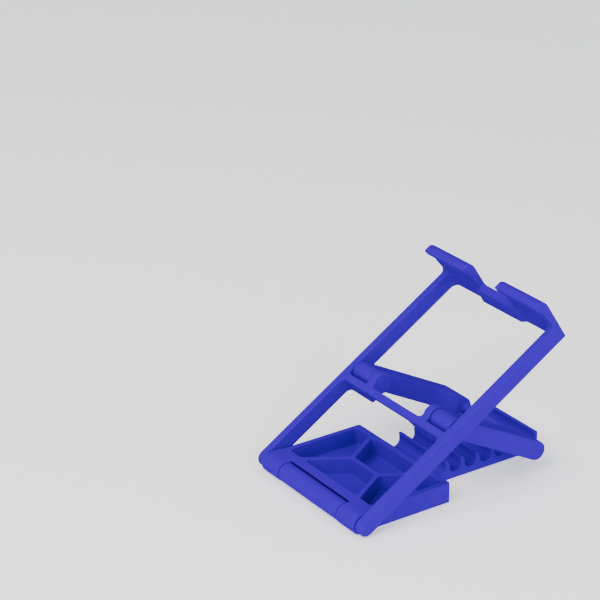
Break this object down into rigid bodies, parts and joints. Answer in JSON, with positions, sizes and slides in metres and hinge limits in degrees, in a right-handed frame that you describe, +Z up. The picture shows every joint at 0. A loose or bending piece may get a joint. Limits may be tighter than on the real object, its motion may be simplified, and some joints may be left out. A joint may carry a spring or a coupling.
{
  "type": "folding phone stand",
  "caption": "Folding print-in-place desk stand for a phone or tablet: hinged hooked frame held up by a prop leg that drops into a toothed rack on the base.",
  "frame": {"origin": "on the table, under the middle of the stand's length and width", "axes": "+Z up; +Y from the frame's hinge towards the rack end of the base; X across the stand, along both hinges"},
  "size_m": [0.076, 0.1102, 0.0823],
  "materials": {
    "base": "3D-printed plastic with fine layer lines",
    "support_frame": "3D-printed plastic with fine layer lines",
    "prop_leg": "3D-printed plastic with fine layer lines"
  },
  "bodies": {
    "base": {"base": "base"},
    "support_frame": {"support_frame": "support_frame"},
    "prop_leg": {"prop_leg": "prop_leg"}
  },
  "joints": [
    {"name": "frame_tilt", "type": "hinge", "parent": "base", "child": "support_frame", "pos_m": [0, -0.05055, 0.0045], "axis": [1, 0, 0], "range_deg": [0, 130]},
    {"name": "leg_swing", "type": "hinge", "parent": "support_frame", "child": "prop_leg", "pos_m": [0, -0.00311, 0.03426], "axis": [1, 0, 0], "range_deg": [0, 60.3]}
  ]
}
